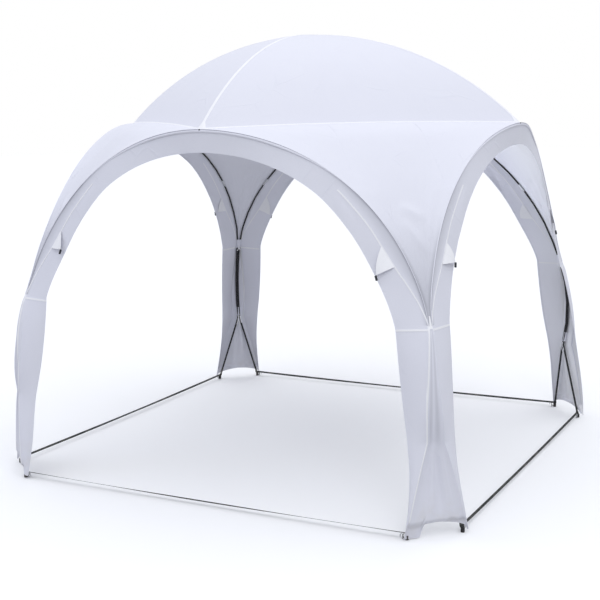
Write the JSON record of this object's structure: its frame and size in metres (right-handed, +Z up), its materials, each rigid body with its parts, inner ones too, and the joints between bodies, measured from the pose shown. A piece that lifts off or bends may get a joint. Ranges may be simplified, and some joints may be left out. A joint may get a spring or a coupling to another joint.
{
  "type": "dome marquee tent",
  "caption": "Square open-sided dome marquee: white cloth roof stretched over black arched poles, with scalloped arches, winged corner legs and ground straps.",
  "frame": {"origin": "on the ground under the middle of the roof", "axes": "+Z up; -Y out of the front side, +X to the right"},
  "size_m": [3.0376, 3.0376, 2.7],
  "materials": {
    "canopy_cloth": "white woven polyester with a faint blue cast, slightly see-through",
    "black_rod": "black fibreglass rod, satin",
    "black_tube": "black powder-coated steel tube, satin",
    "black_webbing": "flat woven black webbing"
  },
  "bodies": {
    "root": {"front_arch_crown_rod": "black_rod", "front_arch_right_rod": "black_rod", "front_arch_left_rod": "black_rod", "front_right_leg": "black_tube", "front_left_leg": "black_tube", "right_arch_crown_rod": "black_rod", "right_arch_right_rod": "black_rod", "right_arch_left_rod": "black_rod", "right_right_leg": "black_tube", "right_left_leg": "black_tube", "back_arch_crown_rod": "black_rod", "back_arch_right_rod": "black_rod", "back_arch_left_rod": "black_rod", "back_right_leg": "black_tube", "back_left_leg": "black_tube", "left_arch_crown_rod": "black_rod", "left_arch_right_rod": "black_rod", "left_arch_left_rod": "black_rod", "left_right_leg": "black_tube", "left_left_leg": "black_tube", "roof_rod_front_back": "black_rod", "roof_rod_left_right": "black_rod", "roof_gore_front_right": "canopy_cloth", "corner_panel_front_right": "canopy_cloth", "leg_panel_front_right": "canopy_cloth", "roof_gore_back_right": "canopy_cloth", "corner_panel_back_right": "canopy_cloth", "leg_panel_back_right": "canopy_cloth", "roof_gore_back_left": "canopy_cloth", "corner_panel_back_left": "canopy_cloth", "leg_panel_back_left": "canopy_cloth", "roof_gore_front_left": "canopy_cloth", "corner_panel_front_left": "canopy_cloth", "leg_panel_front_left": "canopy_cloth", "valance_front": "canopy_cloth", "ground_strap_front": "black_webbing", "valance_right": "canopy_cloth", "ground_strap_right": "black_webbing", "valance_back": "canopy_cloth", "ground_strap_back": "black_webbing", "valance_left": "canopy_cloth", "ground_strap_left": "black_webbing"}
  },
  "joints": []
}
